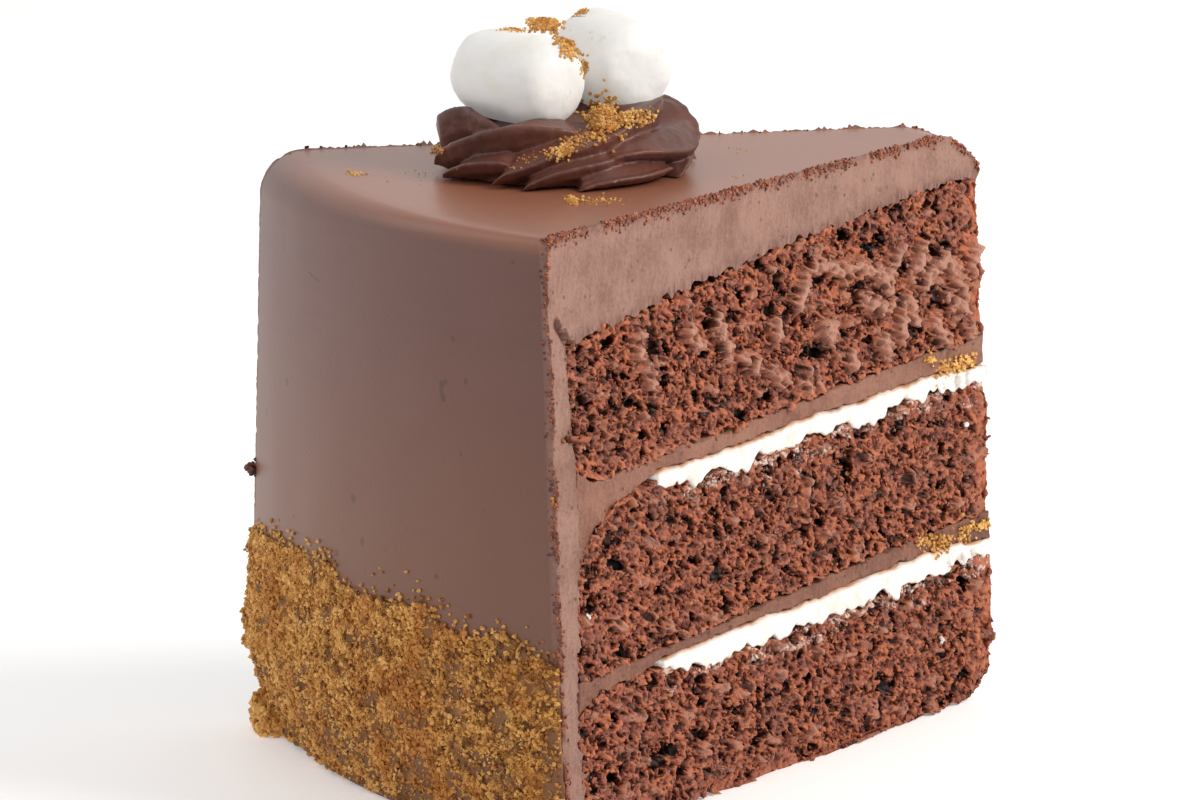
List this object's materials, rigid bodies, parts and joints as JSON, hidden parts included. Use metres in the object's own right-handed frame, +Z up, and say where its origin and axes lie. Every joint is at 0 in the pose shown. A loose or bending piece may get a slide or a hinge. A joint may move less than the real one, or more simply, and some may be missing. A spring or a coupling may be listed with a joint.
{
  "type": "slice of chocolate smores cake",
  "caption": "Wedge of layered chocolate cake with marshmallow creme fillings, smooth frosting, a graham crumb foot band and a piped rosette with marshmallows.",
  "frame": {"origin": "middle of the bounding box, on the surface that the slice stands on", "axes": "+Z up, -Y out of the frosted wall, +Y towards the wedge's tip, +X towards the cut face that the picture shows"},
  "size_m": [0.1074, 0.132, 0.1271],
  "materials": {
    "sponge": "open reddish brown crumb",
    "chocolate_filling": "soft knife-dragged chocolate cream",
    "marshmallow_creme": "sticky white creme",
    "chocolate_frosting": "smooth satin chocolate frosting",
    "graham_crumbs": "coarse golden brown crumbs",
    "piped_chocolate": "satin dark chocolate, piped folds",
    "marshmallow": "soft matte white"
  },
  "bodies": {
    "root": {"sponge_bottom": "sponge", "sponge_middle": "sponge", "sponge_top": "sponge", "chocolate_filling_lower": "chocolate_filling", "chocolate_filling_upper": "chocolate_filling", "marshmallow_creme_lower": "marshmallow_creme", "marshmallow_creme_upper": "marshmallow_creme", "frosting_coat": "chocolate_frosting", "graham_crumb_band": "graham_crumbs", "rosette": "piped_chocolate", "marshmallow_left": "marshmallow", "marshmallow_right": "marshmallow"}
  },
  "joints": []
}
